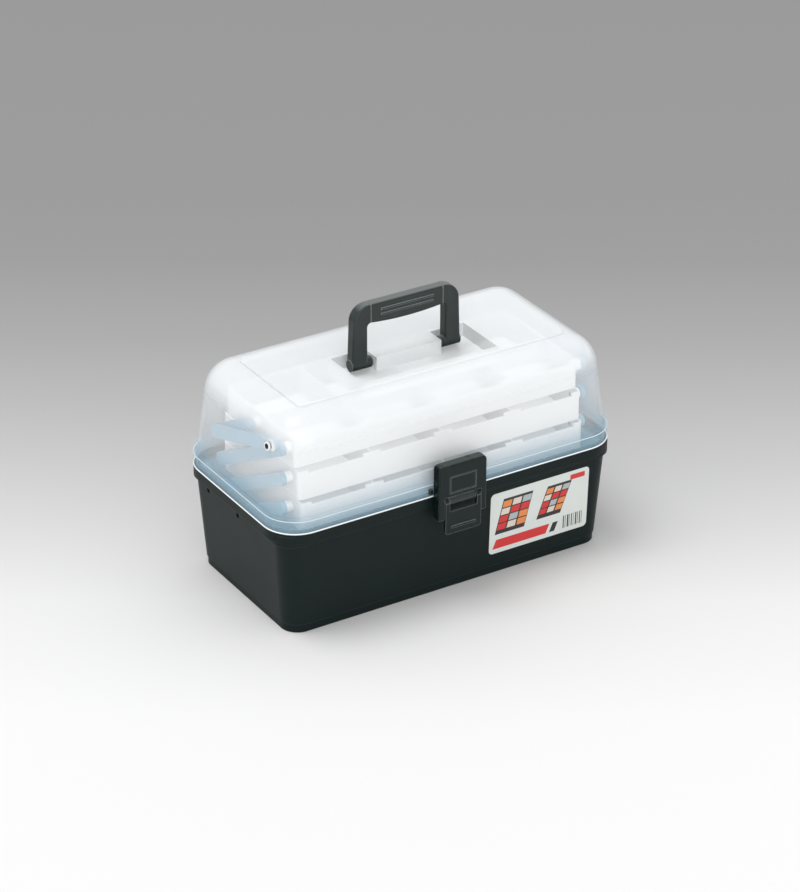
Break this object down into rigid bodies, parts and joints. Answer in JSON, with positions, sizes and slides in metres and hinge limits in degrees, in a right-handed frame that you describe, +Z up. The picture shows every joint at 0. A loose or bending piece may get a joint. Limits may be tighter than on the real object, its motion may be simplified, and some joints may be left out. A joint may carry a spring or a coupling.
{
  "type": "fishing tackle box",
  "caption": "Plastic tackle box: tub base, clear domed lid on rear hinges, folding carry handle, draw latch, and cantilever trays on swing arms that spread as the lid opens.",
  "frame": {"origin": "centre of the base's flat underside, on the floor", "axes": "+X along the long side, to the right seen from the latch side; -Y towards the latch; +Z up"},
  "size_m": [0.38, 0.2165, 0.2788],
  "materials": {
    "base": "satin",
    "lid": "clear, lightly frosted",
    "handle": "satin",
    "latch": "satin",
    "tray": "milky",
    "arm": "satin",
    "bush": "satin",
    "pin": "satin",
    "steel": "plain"
  },
  "bodies": {
    "base": {"base_tub": "base", "latch_keeper": "base", "hinge_pin_right": "steel", "hinge_pin_left": "steel"},
    "lid": {"lid_shell": "lid", "latch_lugs": "latch", "latch_hinge_pin": "steel", "link_bushes": "bush", "link_pins": "pin"},
    "handle": {"handle_bail": "handle"},
    "latch_frame": {"latch_frame": "latch", "latch_lever_pin": "latch"},
    "latch_lever": {"latch_lever": "latch"},
    "low_short_arms": {"arm_low_short_right": "arm", "arm_low_short_left": "arm"},
    "low_long_arms": {"arm_low_long_right": "arm", "arm_low_long_left": "arm"},
    "high_long_arms": {"arm_high_long_right": "arm", "arm_high_long_left": "arm"},
    "high_short_arms": {"arm_high_short_right": "arm", "arm_high_short_left": "arm"},
    "bottom_tray": {"tray_bottom": "tray", "tray_bottom_dividers": "tray"},
    "middle_tray": {"tray_middle": "tray", "tray_middle_dividers": "tray"},
    "top_tray": {"tray_top": "tray", "tray_top_dividers": "tray"},
    "lid_links": {"lid_link_right": "arm", "lid_link_left": "arm"}
  },
  "joints": [
    {"name": "lid_hinge", "type": "hinge", "parent": "base", "child": "lid", "pos_m": [0, 0.1015, 0.112], "axis": [-1, 0, 0], "range_deg": [0, 95]},
    {"name": "handle_fold", "type": "hinge", "parent": "lid", "child": "handle", "pos_m": [0, -0.003, 0.2174], "axis": [1, 0, 0], "range_deg": [0, 70]},
    {"name": "latch_swing", "type": "hinge", "parent": "lid", "child": "latch_frame", "pos_m": [0, -0.1015, 0.14], "axis": [-1, 0, 0], "range_deg": [0, 90]},
    {"name": "lever_pull", "type": "hinge", "parent": "latch_frame", "child": "latch_lever", "pos_m": [0, -0.1055, 0.107], "axis": [-1, 0, 0], "range_deg": [0, 80]},
    {"name": "low_short_arm_turn", "type": "hinge", "parent": "base", "child": "low_short_arms", "pos_m": [0, -0.001, 0.091], "axis": [-1, 0, 0], "range_deg": [0, 38]},
    {"name": "low_long_arm_turn", "type": "hinge", "parent": "base", "child": "low_long_arms", "pos_m": [0, 0.056, 0.091], "axis": [-1, 0, 0], "range_deg": [0, 38]},
    {"name": "bottom_tray_level", "type": "hinge", "parent": "low_short_arms", "child": "bottom_tray", "pos_m": [0, -0.058, 0.122], "axis": [-1, 0, 0], "range_deg": [-38, 0]},
    {"name": "middle_tray_level", "type": "hinge", "parent": "low_long_arms", "child": "middle_tray", "pos_m": [0, -0.058, 0.153], "axis": [-1, 0, 0], "range_deg": [-38, 0]},
    {"name": "high_long_arm_turn", "type": "hinge", "parent": "bottom_tray", "child": "high_long_arms", "pos_m": [0, 0.056, 0.122], "axis": [-1, 0, 0], "range_deg": [0, 38]},
    {"name": "high_short_arm_turn", "type": "hinge", "parent": "middle_tray", "child": "high_short_arms", "pos_m": [0, 0.056, 0.153], "axis": [-1, 0, 0], "range_deg": [0, 38]},
    {"name": "top_tray_level", "type": "hinge", "parent": "high_long_arms", "child": "top_tray", "pos_m": [0, -0.058, 0.184], "axis": [-1, 0, 0], "range_deg": [-38, 0]},
    {"name": "lid_link_turn", "type": "hinge", "parent": "lid", "child": "lid_links", "pos_m": [0, -0.054, 0.1885], "axis": [-1, 0, 0], "range_deg": [0, 32.59]}
  ],
  "couplings": [
    {"joint": "low_short_arm_turn", "follows": "lid_hinge", "ratio": 0.4},
    {"joint": "low_long_arm_turn", "follows": "lid_hinge", "ratio": 0.4},
    {"joint": "bottom_tray_level", "follows": "lid_hinge", "ratio": -0.4},
    {"joint": "middle_tray_level", "follows": "lid_hinge", "ratio": -0.4},
    {"joint": "high_long_arm_turn", "follows": "lid_hinge", "ratio": 0.4},
    {"joint": "high_short_arm_turn", "follows": "lid_hinge", "ratio": 0.4},
    {"joint": "top_tray_level", "follows": "lid_hinge", "ratio": -0.4},
    {"joint": "lid_link_turn", "follows": "lid_hinge", "ratio": 0.343}
  ]
}
